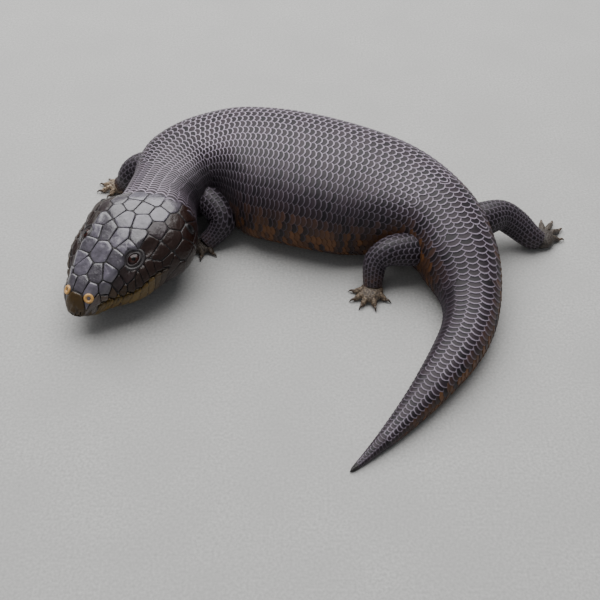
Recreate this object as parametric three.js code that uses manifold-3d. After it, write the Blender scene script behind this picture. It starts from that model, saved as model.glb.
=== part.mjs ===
// A blue tongued skink at life size, lying curved on a floor with its head raised a little.
// Millimetres, +Z up. The floor is z = 0, and the origin is the middle of the footprint.
// Stations are distances along the midline from the tip of the snout. An angle of 0 is the
// top of the body, and angles grow towards the animal's right, the outer side of the curve.
import * as THREE from 'three';
import { mergeVertices } from 'three/addons/utils/BufferGeometryUtils.js';
import Module from 'manifold-3d';

const wasm = await Module();
wasm.setup();

// Driving dimensions
const tailTip = 405;
const snoutPlace = new THREE.Vector2(-107.8, -22.7);
const footprintMiddle = new THREE.Vector2(13.685, 8.75);
const seam = 0.3;
const snoutRound = 9;
const skinPower = 2 / 2.3;

// The cuts between the lengths of the body, from the snout to the tail's tip
const cuts = { nape: 66, shoulder: 98, waist: 172, vent: 250, tailThird: 300, tailLast: 350 };

// Stops of each smooth curve are [station, value]
const heading = profile([
  [0, 65], [33, 55], [56, 63], [73, 83], [89, 63], [105, 37], [122, 11], [141, -5], [169, -18],
  [198, -20], [221, -39], [243, -48], [265, -65], [287, -86], [320, -119], [358, -130], [tailTip, -139],
]);
const halfWidth = profile([
  [0, 6.2], [13, 12.2], [26, 22.1], [41, 25.9], [55, 28.2], [72, 20.5], [88, 21.5], [105, 37.5],
  [124, 41.4], [151, 41.8], [184, 41.3], [217, 37.8], [247, 29.1], [271, 20.2], [296, 13.8],
  [330, 10.5], [362, 6.5], [tailTip, 0.6],
]);
const innerShare = profile([
  [0, 1], [80, 1], [90, 0.88], [98, 0.68], [105, 0.52], [112, 0.5], [120, 0.6], [130, 0.8],
  [142, 0.95], [155, 1], [200, 1], [218, 0.94], [234, 0.76], [247, 0.67], [258, 0.75], [270, 0.93],
  [284, 1], [tailTip, 1],
]);
const topLine = profile([
  [0, 20], [8, 25.3], [20, 30.7], [33, 36.8], [47, 41], [61, 41], [75, 38.1], [94, 37], [105, 38.6],
  [118, 43.4], [136, 47.7], [184, 47.1], [216, 43.4], [247, 40.7], [271, 33.6], [296, 23.7],
  [330, 17.9], [362, 11.5], [tailTip, 1.2],
]);
const underside = profile([
  [0, 12], [8, 9.9], [20, 9], [47, 9.6], [61, 10], [75, 9.5], [94, 7.5], [112, 4.5], [128, 1.5],
  [142, -0.6], [300, -0.6], [tailTip, -0.3],
]);
const widestShare = profile([[0, 0.4], [212, 0.4], [287, 0.47], [tailTip, 0.47]]);
const lowerPower = profile([[0, 2.9], [212, 2.9], [287, 2.3], [tailTip, 2.2]]);

// A smooth curve through stops, whose slope at each stop is that of the line between its neighbours
function profile(stops) {
  const slope = (i) => {
    const before = stops[Math.max(i - 1, 0)];
    const after = stops[Math.min(i + 1, stops.length - 1)];
    return (after[1] - before[1]) / (after[0] - before[0]);
  };
  return (x) => {
    let i = 0;
    while (i < stops.length - 2 && x >= stops[i + 1][0]) i += 1;
    const span = stops[i + 1][0] - stops[i][0];
    const t = THREE.MathUtils.clamp((x - stops[i][0]) / span, 0, 1);
    const rise = 3 * t * t - 2 * t * t * t;
    const tangents = span * t * (1 - t) * ((1 - t) * slope(i) - t * slope(i + 1));
    return stops[i][1] * (1 - rise) + stops[i + 1][1] * rise + tangents;
  };
}

// The midline seen from above, added up in steps of its heading
const midlineStep = 1;
const midlinePoints = [snoutPlace.clone().sub(footprintMiddle)];
for (let station = 0; station < tailTip; station += midlineStep) {
  const turn = THREE.MathUtils.degToRad(heading(station + midlineStep / 2));
  const last = midlinePoints[midlinePoints.length - 1];
  midlinePoints.push(new THREE.Vector2(last.x + Math.cos(turn) * midlineStep, last.y + Math.sin(turn) * midlineStep));
}

function midline(station) {
  const i = Math.min(Math.floor(station / midlineStep), midlinePoints.length - 2);
  return midlinePoints[i].clone().lerp(midlinePoints[i + 1], station / midlineStep - i);
}

// A point of the skin, or of a surface that lies a little outside it. The floor cuts it off.
function skinPoint(station, angle, grow = 0) {
  const rounding = Math.sqrt(1 - (1 - THREE.MathUtils.clamp(station / snoutRound, 0, 1)) ** 2);
  const side = Math.sin(angle);
  const up = Math.cos(angle);
  const bottom = underside(station);
  const top = topLine(station);
  const level = bottom + (top - bottom) * widestShare(station);
  const reach = halfWidth(station) * (side < 0 ? innerShare(station) : 1) + grow;
  const across = reach * Math.sign(side) * Math.abs(side) ** skinPower * rounding;
  const above = (top - level + grow) * Math.abs(up) ** skinPower;
  const below = (level - bottom + grow) * Math.abs(up) ** (2 / lowerPower(station));
  const turn = THREE.MathUtils.degToRad(heading(station));
  const middle = midline(station);
  return new THREE.Vector3(
    middle.x - Math.sin(turn) * across,
    middle.y + Math.cos(turn) * across,
    Math.max(level + (up > 0 ? above : -below) * rounding, grow > 0 ? -grow : 0),
  );
}

function skinNormal(station, angle) {
  const step = 0.3;
  const turn = 0.02;
  const along = skinPoint(station + step, angle).sub(skinPoint(station - step, angle));
  const round = skinPoint(station, angle + turn).sub(skinPoint(station, angle - turn));
  return along.cross(round).normalize();
}

// A closed solid through rings of points, with a fan at each end
function ringSolid(rings, first, last) {
  const count = rings[0].length;
  const points = [first, ...rings.flat(), last];
  const index = [];
  const at = (ring, i) => 1 + ring * count + (i % count);
  for (let i = 0; i < count; i += 1) {
    index.push(0, at(0, i + 1), at(0, i));
    for (let ring = 0; ring < rings.length - 1; ring += 1) {
      index.push(at(ring, i), at(ring, i + 1), at(ring + 1, i));
      index.push(at(ring, i + 1), at(ring + 1, i + 1), at(ring + 1, i));
    }
    index.push(points.length - 1, at(rings.length - 1, i), at(rings.length - 1, i + 1));
  }
  const geometry = new THREE.BufferGeometry().setFromPoints(points);
  geometry.setIndex(index);
  return geometry;
}

function evenSteps(from, to, count) {
  return Array.from({ length: count + 1 }, (unused, i) => from + ((to - from) * i) / count);
}

function middleOf(ring) {
  const sum = ring.reduce((total, point) => total.add(point), new THREE.Vector3());
  return sum.divideScalar(ring.length);
}

// One length of the body between two cuts
function bodyLength(from, to, steps, around, grow = 0) {
  const rings = evenSteps(from, to, steps).map((station) => (
    evenSteps(0, 2 * Math.PI, around).slice(0, around).map((angle) => skinPoint(station, angle, grow))
  ));
  return ringSolid(rings, middleOf(rings[0]), middleOf(rings[rings.length - 1]));
}

// Solids for joining and cutting
function toSolid(geometry) {
  const bare = geometry.clone();
  bare.deleteAttribute('normal');
  bare.deleteAttribute('uv');
  const merged = mergeVertices(bare, 1e-4);
  const solid = new wasm.Manifold(new wasm.Mesh({
    numProp: 3,
    vertProperties: new Float32Array(merged.attributes.position.array),
    triVerts: new Uint32Array(merged.index.array),
  }));
  return solid.volume() < 0 ? new wasm.Manifold(new wasm.Mesh({
    numProp: 3,
    vertProperties: new Float32Array(merged.attributes.position.array),
    triVerts: new Uint32Array(merged.index.array).reverse(),
  })) : solid;
}

function largestPiece(solid) {
  return solid.decompose().reduce((best, piece) => (piece.volume() > best.volume() ? piece : best));
}

function toGeometry(solid) {
  const mesh = largestPiece(solid).getMesh();
  const geometry = new THREE.BufferGeometry();
  geometry.setAttribute('position', new THREE.BufferAttribute(Float32Array.from(mesh.vertProperties), 3));
  geometry.setIndex(new THREE.BufferAttribute(Uint32Array.from(mesh.triVerts), 1));
  return geometry;
}

function ball(centre, radius, across = 14, up = 8) {
  return toSolid(new THREE.SphereGeometry(radius, across, up).translate(centre.x, centre.y, centre.z));
}

// A ring of round section that lies in the skin around a point
function skinRing(centre, normal, radius, thickness, across = 16) {
  const ring = new THREE.TorusGeometry(radius, thickness, 5, across);
  ring.applyQuaternion(new THREE.Quaternion().setFromUnitVectors(new THREE.Vector3(0, 0, 1), normal));
  return toSolid(ring.translate(centre.x, centre.y, centre.z));
}

// Head: broad at the jowls, flat on top, with a brow over each eye, a mouth line that rises
// towards its corner, nostrils near the tip of the snout and an ear cup behind each jowl.
const mouthCorner = 44;
const mouthAngle = profile([[0, 1.5], [8, 1.42], [18, 1.45], [27, 1.4], [34, 1.33], [mouthCorner, 1.42]]);
const browAngle = profile([[0, 0.75], [14, 0.62], [23, 0.5], [31, 0.46], [41, 0.5], [cuts.nape, 0.75]]);
const eyePlace = { station: 32, angle: 0.64 };
const eyeRadius = 4.6;
const eyeSunk = 3.2;
const lidThickness = 0.8;
const nostrilPlace = { station: 6.8, angle: 0.7 };
const nostrilRadius = 1.3;
const earPlace = { station: 59.6, angle: 1.12 };
const earCup = new THREE.Vector3(2.2, 3.4, 2.6);
const headSteps = 22;
const topColumns = 10;
const lowerColumns = 5;

// How far the skin of the head stands out from the plain section
function headRelief(station, angle) {
  const off = Math.abs(angle);
  const width = halfWidth(station);
  const fromBrow = (off - browAngle(station)) * width * 0.8;
  const browWindow = THREE.MathUtils.smoothstep(station, 9, 18) * (1 - THREE.MathUtils.smoothstep(station, 38, 48));
  const brow = 0.9 * Math.exp(-((fromBrow / 2.2) ** 2)) * browWindow;
  const lore = -1.1 * Math.exp(-(((fromBrow - 5) / 3) ** 2)) * browWindow;
  const fromMouth = (off - mouthAngle(station)) * width;
  const mouthWindow = 1 - THREE.MathUtils.smoothstep(station, mouthCorner - 3, mouthCorner);
  const mouth = -1.1 * Math.exp(-((fromMouth / 0.5) ** 2)) * mouthWindow;
  const upperLip = 0.45 * Math.exp(-(((fromMouth + 1.8) / 1.2) ** 2)) * mouthWindow;
  const lowerLip = 0.3 * Math.exp(-(((fromMouth - 1.6) / 1.1) ** 2)) * mouthWindow;
  const jowl = 0.9 * Math.exp(-(((station - 49) / 9) ** 2)) * Math.exp(-(((off - 1.6) / 0.5) ** 2));
  return brow + lore + mouth + upperLip + lowerLip + jowl;
}

function headPoint(station, angle) {
  const point = skinPoint(station, angle);
  const settle = THREE.MathUtils.smoothstep(station, 1, 6) * (1 - THREE.MathUtils.smoothstep(station, 58, cuts.nape));
  return point.addScaledVector(skinNormal(station, angle), headRelief(station, angle) * settle);
}

// Columns are closer beside the mouth line, and one of them follows it
function headAngles(station) {
  const mouth = mouthAngle(station);
  const width = halfWidth(station);
  const lip = Math.min(1.0 / width, 0.12);
  const upper = [...evenSteps(0, mouth - 2.2 * lip, topColumns - 2), mouth - lip, mouth];
  const lower = [mouth + lip, ...evenSteps(mouth + 2.2 * lip, Math.PI, lowerColumns - 1)];
  const right = [...upper, ...lower];
  const left = right.slice(1, -1).reverse().map((angle) => -angle);
  return [...right, ...left];
}

// Head shields: thin horny plates over the crown, cheeks and lips. The middle of each is
// [station, across], where across runs over the skin from the midline. Those off the midline
// come in pairs. A shield reaches half way to each of its neighbours, less half the groove.
const crownShields = [
  [3, 0], [10.2, 0], [9.5, 6.2], [17, 4.3], [26.5, 0], [36.5, 3.9], [44.8, 0], [48, 8.2], [55.5, 3.6],
  [62.5, 4.4],
];
const sideShields = [
  [20.5, 10], [27.2, 9.8], [34, 10.4], [40.8, 11.6], [14, 12.2], [19.5, 16.5], [25, 17.5], [41.5, 18.2],
  [42.5, 25], [48.8, 16.6], [50, 24.5], [55.8, 12], [57.2, 20], [63.3, 13.5], [64.5, 21.5],
];
const lipStations = evenSteps(8.5, 40.5, 7);
const lipHalfHeight = 2.5;
const shieldGroove = 0.5;
const shieldRise = 0.45;
const shieldBevel = 0.45;
const shieldRoot = 0.9;
const shieldReach = 8;
const shieldsFrom = 1.2;
const shortestEdge = 0.7;
const arcSteps = 60;

function lengthsAcross(station) {
  const points = evenSteps(0, Math.PI, arcSteps).map((angle) => skinPoint(station, angle));
  const lengths = [0];
  for (let i = 1; i <= arcSteps; i += 1) lengths.push(lengths[i - 1] + points[i].distanceTo(points[i - 1]));
  return lengths;
}

function angleAcross(station, across) {
  const lengths = lengthsAcross(station);
  const i = Math.min(Math.max(lengths.findIndex((length) => length > Math.abs(across)) - 1, 0), arcSteps - 1);
  const share = (Math.abs(across) - lengths[i]) / (lengths[i + 1] - lengths[i]);
  return Math.sign(across) * ((i + share) * Math.PI) / arcSteps;
}

function mouthAcross(station) {
  const lengths = lengthsAcross(station);
  const place = (mouthAngle(station) / Math.PI) * arcSteps;
  const i = Math.floor(place);
  return lengths[i] + (lengths[i + 1] - lengths[i]) * (place - i);
}

function bothSides(places) {
  return places.flatMap(([station, across]) => (
    across === 0 ? [[station, 0]] : [[station, across], [station, -across]]
  )).map(([station, across]) => new THREE.Vector2(station, across));
}

// Cuts a cell back to its own side of the line half way to a neighbour
function cutCell(cell, own, other) {
  const way = other.clone().sub(own).normalize();
  const limit = own.clone().add(other).dot(way) / 2 - shieldGroove / 2;
  return cell.flatMap((corner, i) => {
    const next = cell[(i + 1) % cell.length];
    const here = corner.dot(way) - limit;
    const there = next.dot(way) - limit;
    const kept = here <= 0 ? [corner] : [];
    return here * there < 0 ? [...kept, corner.clone().lerp(next, here / (here - there))] : kept;
  });
}

function shieldSolid(middle, others) {
  const front = Math.max(middle.x - shieldReach, shieldsFrom);
  const back = Math.min(middle.x + shieldReach, cuts.nape - 2 * seam);
  let cell = [[front, -1], [back, -1], [back, 1], [front, 1]].map(([x, y]) => (
    new THREE.Vector2(x, middle.y + y * shieldReach)
  ));
  for (const other of others) cell = cutCell(cell, middle, other);
  cell = cell.filter((corner, i) => corner.distanceTo(cell[(i + 1) % cell.length]) > shortestEdge);
  const centre = cell.reduce((sum, corner) => sum.add(corner), new THREE.Vector2()).divideScalar(cell.length);
  const lift = (corner, height) => {
    const angle = angleAcross(corner.x, corner.y);
    return headPoint(corner.x, angle).addScaledVector(skinNormal(corner.x, angle), height);
  };
  const inset = (corner) => corner.clone().lerp(centre, Math.min(shieldBevel / corner.distanceTo(centre), 0.4));
  const root = cell.map((corner) => lift(corner, -shieldRoot));
  const rim = cell.map((corner) => lift(inset(corner), shieldRise));
  return toSolid(ringSolid([root, rim], lift(centre, -shieldRoot), lift(centre, shieldRise)));
}

function placeOnHead({ station, angle }, side) {
  return { point: headPoint(station, angle * side), normal: skinNormal(station, angle * side) };
}

function headSolid() {
  const firstRing = 0.35;
  const stations = evenSteps(0, 1, headSteps).map((t) => firstRing + (cuts.nape - seam / 2 - firstRing) * t ** 1.25);
  const rings = stations.map((station) => headAngles(station).map((angle) => headPoint(station, angle)));
  const tip = skinPoint(0, 0);
  let head = toSolid(ringSolid(rings, tip, middleOf(rings[rings.length - 1])));
  const upperLip = lipStations.map((station) => [station, mouthAcross(station) - lipHalfHeight]);
  const lowerLip = lipStations.map((station) => [station, mouthAcross(station) + lipHalfHeight]);
  const shields = bothSides([...crownShields, ...sideShields, ...upperLip]);
  const neighbours = [...shields, ...bothSides(lowerLip)];
  for (const middle of shields) {
    head = head.add(shieldSolid(middle, neighbours.filter((other) => other !== middle)));
  }
  for (const side of [1, -1]) {
    const eye = placeOnHead(eyePlace, side);
    const eyeCentre = eye.point.clone().addScaledVector(eye.normal, -eyeSunk);
    const lidRadius = Math.sqrt((eyeRadius + seam) ** 2 - eyeSunk ** 2) + lidThickness / 2;
    head = head.add(skinRing(eye.point, eye.normal, lidRadius, lidThickness));
    head = head.subtract(ball(eyeCentre, eyeRadius + seam));
    const nostril = placeOnHead(nostrilPlace, side);
    head = head.add(skinRing(nostril.point, nostril.normal, nostrilRadius + 0.5, 0.55, 10));
    head = head.subtract(ball(nostril.point.clone().addScaledVector(nostril.normal, 0.1), nostrilRadius, 8, 6));
    const ear = placeOnHead(earPlace, side);
    const cup = new THREE.SphereGeometry(1, 12, 8).scale(earCup.x, earCup.y, earCup.z);
    cup.applyQuaternion(new THREE.Quaternion().setFromUnitVectors(new THREE.Vector3(0, 0, 1), ear.normal));
    head = head.subtract(toSolid(cup.translate(ear.point.x, ear.point.y, ear.point.z)));
  }
  return head;
}

function eyeSolid(side) {
  const eye = placeOnHead(eyePlace, side);
  return ball(eye.point.clone().addScaledVector(eye.normal, -eyeSunk), eyeRadius);
}

// Limbs: short, stout and round. Each is one bent taper from inside the body to the wrist or
// ankle, parted at the elbow or knee, and a foot of a low pad with five clawed toes.
const limbSides = 10;
const toeSides = 5;
const clawSides = 4;
const clawLength = 3.4;

function limbCurve(points) {
  return new THREE.CatmullRomCurve3(points.map(([x, y, z]) => (
    new THREE.Vector3(x - footprintMiddle.x, y - footprintMiddle.y, z)
  )), false, 'centripetal');
}

// A tapered tube along a stretch of a curve, with a blunt or a flat end
function taper(curve, radius, from, to, steps, sides, spread) {
  const rings = evenSteps(from, to, steps).map((t) => {
    const centre = curve.getPointAt(t);
    const tangent = curve.getTangentAt(t);
    const across = spread.clone().addScaledVector(tangent, -spread.dot(tangent)).normalize();
    const upward = tangent.clone().cross(across);
    return evenSteps(0, 2 * Math.PI, sides).slice(0, sides).map((angle) => (
      centre.clone().addScaledVector(across, Math.cos(angle) * radius(t)).addScaledVector(upward, Math.sin(angle) * radius(t))
    ));
  });
  return toSolid(ringSolid(rings, curve.getPointAt(from), curve.getPointAt(to)));
}

function toeSolid(root, tip, thickness) {
  const knuckle = root.clone().lerp(tip, 0.45).setZ(thickness * 1.35 + 0.6);
  const base = root.clone().setZ(thickness + 0.9);
  const pad = tip.clone().setZ(thickness * 0.72 - 0.25);
  const way = tip.clone().sub(root).setZ(0).normalize();
  const curve = new THREE.CatmullRomCurve3([base, knuckle, pad]);
  const side = new THREE.Vector3(-way.y, way.x, 0);
  const girth = (t) => thickness * (1 - 0.32 * t) * (t > 0.99 ? 0.72 : 1);
  const toe = taper(curve, girth, 0, 1, 3, toeSides, side);
  const clawStart = pad.clone().addScaledVector(way, -0.8);
  const clawMiddle = pad.clone().addScaledVector(way, clawLength * 0.5).setZ(thickness * 0.95);
  const clawTip = pad.clone().addScaledVector(way, clawLength).setZ(0.25);
  const clawCurve = new THREE.CatmullRomCurve3([clawStart, clawMiddle, clawTip]);
  const claw = taper(clawCurve, (t) => thickness * 0.55 * (1 - t) + 0.12, 0, 1, 2, clawSides, side);
  return toe.add(claw);
}

// The places are in the frame of the midline, before the footprint is centred
const limbs = {
  front_leg_left: {
    points: [[-56, 60, 19], [-46, 52, 19], [-40.5, 44.5, 14.5], [-44.5, 40.5, 8], [-49.5, 38, 4]],
    radii: profile([[0, 9], [0.35, 8], [0.58, 7.4], [0.8, 5.4], [1, 4.6]]),
    elbow: 0.55, wrist: 0.88, pad: [-51, 37, 2.6], padSize: [6.2, 5.2, 3.1], facing: 215,
    toes: [[-58.6, 41], [-59.8, 36.5], [-57, 31.4], [-52, 29.2], [-45.5, 31.5]], thickness: 1.7,
  },
  front_leg_right: {
    points: [[-78, 80, 20], [-88, 82.5, 17.5], [-94.5, 82, 12], [-98, 83.5, 7], [-101, 84.5, 4]],
    radii: profile([[0, 9], [0.35, 8], [0.6, 7.4], [0.8, 5.4], [1, 4.6]]),
    elbow: 0.56, wrist: 0.88, pad: [-102, 84.5, 2.6], padSize: [6.2, 5.2, 3.1], facing: 175,
    toes: [[-104, 93], [-109, 91.5], [-113, 88], [-113.5, 82], [-107.5, 78]], thickness: 1.7,
  },
  hind_leg_left: {
    points: [[70, 28, 18], [57, 19, 18.5], [44.5, 15.5, 19], [38.5, 13.5, 15], [37, 9, 8], [36.8, 6, 4]],
    radii: profile([[0, 10], [0.3, 9.2], [0.5, 7.8], [0.7, 6.2], [0.88, 5.2], [1, 4.5]]),
    elbow: 0.56, wrist: 0.9, pad: [36, 3.2, 2.8], padSize: [7, 6, 3.3], facing: 250,
    toes: [[26.5, 5], [26.5, -1], [30.5, -5.5], [37.5, -6.5], [44, -1.5]], thickness: 1.8,
  },
  hind_leg_right: {
    points: [[82, 33, 19], [94, 38, 20], [105, 43.5, 18], [113, 43, 13], [121, 39.5, 7.5], [126.5, 38.5, 4.5]],
    radii: profile([[0, 10], [0.3, 8.6], [0.48, 7.7], [0.7, 7.3], [0.88, 6.2], [1, 5]]),
    elbow: 0.53, wrist: 0.9, pad: [129.5, 41.5, 2.9], padSize: [7, 6.4, 3.4], facing: 55,
    toes: [[126.5, 53], [132, 57], [138, 56.5], [141.5, 50.5], [140, 42.5]], thickness: 1.8,
  },
};

function limbSolids(limb, bodyRoom) {
  const curve = limbCurve(limb.points);
  const start = curve.getPointAt(0);
  const bend = curve.getPointAt(limb.elbow);
  const end = curve.getPointAt(1);
  const spread = bend.clone().sub(start).cross(end.clone().sub(bend)).normalize();
  const half = seam / 2 / curve.getLength();
  const upper = taper(curve, limb.radii, 0, limb.elbow - half, 8, limbSides, spread).subtract(bodyRoom);
  const lower = taper(curve, limb.radii, limb.elbow + half, limb.wrist - half, 5, limbSides, spread);
  const stub = taper(curve, limb.radii, limb.wrist + half, 1, 2, limbSides, spread);
  const centre = new THREE.Vector3(...limb.pad).sub(new THREE.Vector3(footprintMiddle.x, footprintMiddle.y, 0));
  const turned = new THREE.SphereGeometry(1, 9, 5).scale(...limb.padSize);
  turned.rotateZ(THREE.MathUtils.degToRad(limb.facing)).translate(centre.x, centre.y, centre.z);
  let foot = stub.add(toSolid(turned));
  for (const [x, y] of limb.toes) {
    const reach = new THREE.Vector3(x - footprintMiddle.x, y - footprintMiddle.y, 0);
    const tip = reach.clone().lerp(centre.clone().setZ(0), 0.12);
    const root = centre.clone().setZ(0).lerp(reach, 0.22);
    foot = foot.add(toeSolid(root, tip, limb.thickness));
  }
  const floor = [0, 0, 1];
  return {
    upper: largestPiece(upper).trimByPlane(floor, 0),
    lower: lower.subtract(bodyRoom).trimByPlane(floor, 0),
    foot: foot.subtract(bodyRoom).trimByPlane(floor, 0),
  };
}

// Finishes
const darkScales = new THREE.MeshStandardMaterial({ name: 'dark_scales', color: 0x4a4348, roughness: 0.45 });
const headShields = new THREE.MeshStandardMaterial({ name: 'head_shields', color: 0x3c3a40, roughness: 0.35 });
const eyeGloss = new THREE.MeshStandardMaterial({ name: 'eye', color: 0x3a1512, roughness: 0.08 });
const legScales = new THREE.MeshStandardMaterial({ name: 'leg_scales', color: 0x3b3439, roughness: 0.5 });
const toeScales = new THREE.MeshStandardMaterial({ name: 'toe_scales', color: 0x8a7062, roughness: 0.55 });

// Assembly
const skink = new THREE.Group();

function addNode(name, geometry, material) {
  const mesh = new THREE.Mesh(geometry, material);
  mesh.name = name;
  skink.add(mesh);
}

addNode('head', toGeometry(headSolid()), headShields);
addNode('eye_left', toGeometry(eyeSolid(-1)), eyeGloss);
addNode('eye_right', toGeometry(eyeSolid(1)), eyeGloss);

const lengths = [
  ['neck', cuts.nape, cuts.shoulder, 10, 28],
  ['torso_front', cuts.shoulder, cuts.waist, 18, 28],
  ['torso_rear', cuts.waist, cuts.vent, 16, 28],
  ['tail_base', cuts.vent, cuts.tailThird, 12, 24],
  ['tail_middle', cuts.tailThird, cuts.tailLast, 11, 20],
  ['tail_tip', cuts.tailLast, tailTip, 10, 16],
];
for (const [name, from, to, steps, around] of lengths) {
  const start = from + seam / 2;
  const stop = to === tailTip ? to : to - seam / 2;
  addNode(name, toGeometry(toSolid(bodyLength(start, stop, steps, around))), darkScales);
}

const bodyRoom = toSolid(bodyLength(cuts.nape, cuts.tailThird, 64, 28, seam));
for (const [name, limb] of Object.entries(limbs)) {
  const pieces = limbSolids(limb, bodyRoom);
  addNode(`${name}_upper`, toGeometry(pieces.upper), legScales);
  addNode(`${name}_lower`, toGeometry(pieces.lower), legScales);
  addNode(`${name}_foot`, toGeometry(pieces.foot), toeScales);
}

export default skink;
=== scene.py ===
import math

import bpy
import numpy as np
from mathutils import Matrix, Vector


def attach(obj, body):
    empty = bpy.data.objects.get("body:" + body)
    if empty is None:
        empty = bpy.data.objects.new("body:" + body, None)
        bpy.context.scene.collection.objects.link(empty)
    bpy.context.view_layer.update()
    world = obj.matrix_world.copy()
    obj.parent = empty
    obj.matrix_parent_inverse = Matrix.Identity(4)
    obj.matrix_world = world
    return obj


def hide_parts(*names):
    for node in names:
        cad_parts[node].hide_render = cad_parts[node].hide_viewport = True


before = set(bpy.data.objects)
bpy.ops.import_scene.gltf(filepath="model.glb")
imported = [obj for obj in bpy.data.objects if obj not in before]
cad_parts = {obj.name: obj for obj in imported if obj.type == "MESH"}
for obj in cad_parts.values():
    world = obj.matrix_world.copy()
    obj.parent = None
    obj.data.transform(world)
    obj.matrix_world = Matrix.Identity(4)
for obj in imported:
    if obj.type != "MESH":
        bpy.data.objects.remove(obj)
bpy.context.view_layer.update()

# Skin: one unbroken surface over flesh and bone from snout to tail tip, which shows in the grooves
# between the scales. The skink lies curved, its head raised a little on a short neck. Stations are
# millimetres along the midline from the snout; angle 0 is the top of the body, and angles grow
# towards the animal's right, the outer side of the curve.
MM = 0.001
TAIL_TIP = 405
NAPE = 66
SNOUT_ROUND = 9
SKIN_POWER = 2 / 2.3
STEP_ALONG = 0.3
STEP_AROUND = 0.02
TINY = 1e-9
FOOTPRINT_MIDDLE = np.array([13.685, 8.75])
SNOUT_PLACE = np.array([-107.8, -22.7]) - FOOTPRINT_MIDDLE


def smooth_curve(stops):
    """A cubic through the stops; its slope at a stop is that of the line between the stop's neighbours."""
    places, values = np.array(stops, float).T
    before = np.maximum(np.arange(len(places)) - 1, 0)
    after = np.minimum(np.arange(len(places)) + 1, len(places) - 1)
    slopes = (values[after] - values[before]) / (places[after] - places[before])

    def value(x):
        x = np.asarray(x, float)
        i = np.clip(np.searchsorted(places, x, side="right") - 1, 0, len(places) - 2)
        span = places[i + 1] - places[i]
        t = np.clip((x - places[i]) / span, 0, 1)
        rise = t * t * (3 - 2 * t)
        bend = span * t * (1 - t) * ((1 - t) * slopes[i] - t * slopes[i + 1])
        return values[i] * (1 - rise) + values[i + 1] * rise + bend

    return value


heading = smooth_curve([
    (0, 65), (33, 55), (56, 63), (73, 83), (89, 63), (105, 37), (122, 11), (141, -5), (169, -18),
    (198, -20), (221, -39), (243, -48), (265, -65), (287, -86), (320, -119), (358, -130),
    (TAIL_TIP, -139)])
half_width = smooth_curve([
    (0, 6.2), (13, 12.2), (26, 22.1), (41, 25.9), (55, 28.2), (72, 20.5), (88, 21.5), (105, 37.5),
    (124, 41.4), (151, 41.8), (184, 41.3), (217, 37.8), (247, 29.1), (271, 20.2), (296, 13.8),
    (330, 10.5), (362, 6.5), (TAIL_TIP, 0.6)])
inner_share = smooth_curve([
    (0, 1), (80, 1), (90, 0.88), (98, 0.68), (105, 0.52), (112, 0.5), (120, 0.6), (130, 0.8),
    (142, 0.95), (155, 1), (200, 1), (218, 0.94), (234, 0.76), (247, 0.67), (258, 0.75),
    (270, 0.93), (284, 1), (TAIL_TIP, 1)])
top_line = smooth_curve([
    (0, 20), (8, 25.3), (20, 30.7), (33, 36.8), (47, 41), (61, 41), (75, 38.1), (94, 37),
    (105, 38.6), (118, 43.4), (136, 47.7), (184, 47.1), (216, 43.4), (247, 40.7), (271, 33.6),
    (296, 23.7), (330, 17.9), (362, 11.5), (TAIL_TIP, 1.2)])
underside = smooth_curve([
    (0, 12), (8, 9.9), (20, 9), (47, 9.6), (61, 10), (75, 9.5), (94, 7.5), (112, 4.5), (128, 1.5),
    (142, -0.6), (300, -0.6), (TAIL_TIP, -0.3)])
widest_share = smooth_curve([(0, 0.4), (212, 0.4), (287, 0.47), (TAIL_TIP, 0.47)])
lower_power = smooth_curve([(0, 2.9), (212, 2.9), (287, 2.3), (TAIL_TIP, 2.2)])

midline_steps = np.arange(TAIL_TIP + 1)
midline_turns = np.radians(heading(midline_steps[:-1] + 0.5))
midline_x = SNOUT_PLACE[0] + np.concatenate([[0], np.cumsum(np.cos(midline_turns))])
midline_y = SNOUT_PLACE[1] + np.concatenate([[0], np.cumsum(np.sin(midline_turns))])


def smooth_step(x, low, high):
    """0 below low, 1 above high, and a cubic ease between."""
    t = np.clip((x - low) / (high - low), 0, 1)
    return t * t * (3 - 2 * t)


def body_point(station, angle):
    """Plain body: across = half width times sine to a power, height = cosine to a power, above or
    below the level of greatest width, set square to the midline and cut off by the floor."""
    station, angle = np.broadcast_arrays(np.asarray(station, float), np.asarray(angle, float))
    rounding = np.sqrt(1 - (1 - np.clip(station / SNOUT_ROUND, 0, 1)) ** 2)
    side, up = np.sin(angle), np.cos(angle)
    bottom, top = underside(station), top_line(station)
    level = bottom + (top - bottom) * widest_share(station)
    reach = half_width(station) * np.where(side < 0, inner_share(station), 1)
    across = reach * np.sign(side) * np.abs(side) ** SKIN_POWER * rounding
    above = (top - level) * np.abs(up) ** SKIN_POWER
    below = (level - bottom) * np.abs(up) ** (2 / lower_power(station))
    turn = np.radians(heading(station))
    x = np.interp(station, midline_steps, midline_x) - np.sin(turn) * across
    y = np.interp(station, midline_steps, midline_y) + np.cos(turn) * across
    z = np.maximum(level + np.where(up > 0, above, -below) * rounding, 0)
    return np.stack([x, y, z], -1)


def body_normal(station, angle):
    """The cross product of a short step along the body and a short step round it, at unit length."""
    along = body_point(station + STEP_ALONG, angle) - body_point(station - STEP_ALONG, angle)
    around = body_point(station, angle + STEP_AROUND) - body_point(station, angle - STEP_AROUND)
    normal = np.cross(along, around)
    return normal / (np.linalg.norm(normal, axis=-1, keepdims=True) + TINY)


MOUTH_CORNER = 44
mouth_angle = smooth_curve([(0, 1.5), (8, 1.42), (18, 1.45), (27, 1.4), (34, 1.33), (MOUTH_CORNER, 1.42)])
brow_angle = smooth_curve([(0, 0.75), (14, 0.62), (23, 0.5), (31, 0.46), (41, 0.5), (NAPE, 0.75)])
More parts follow.
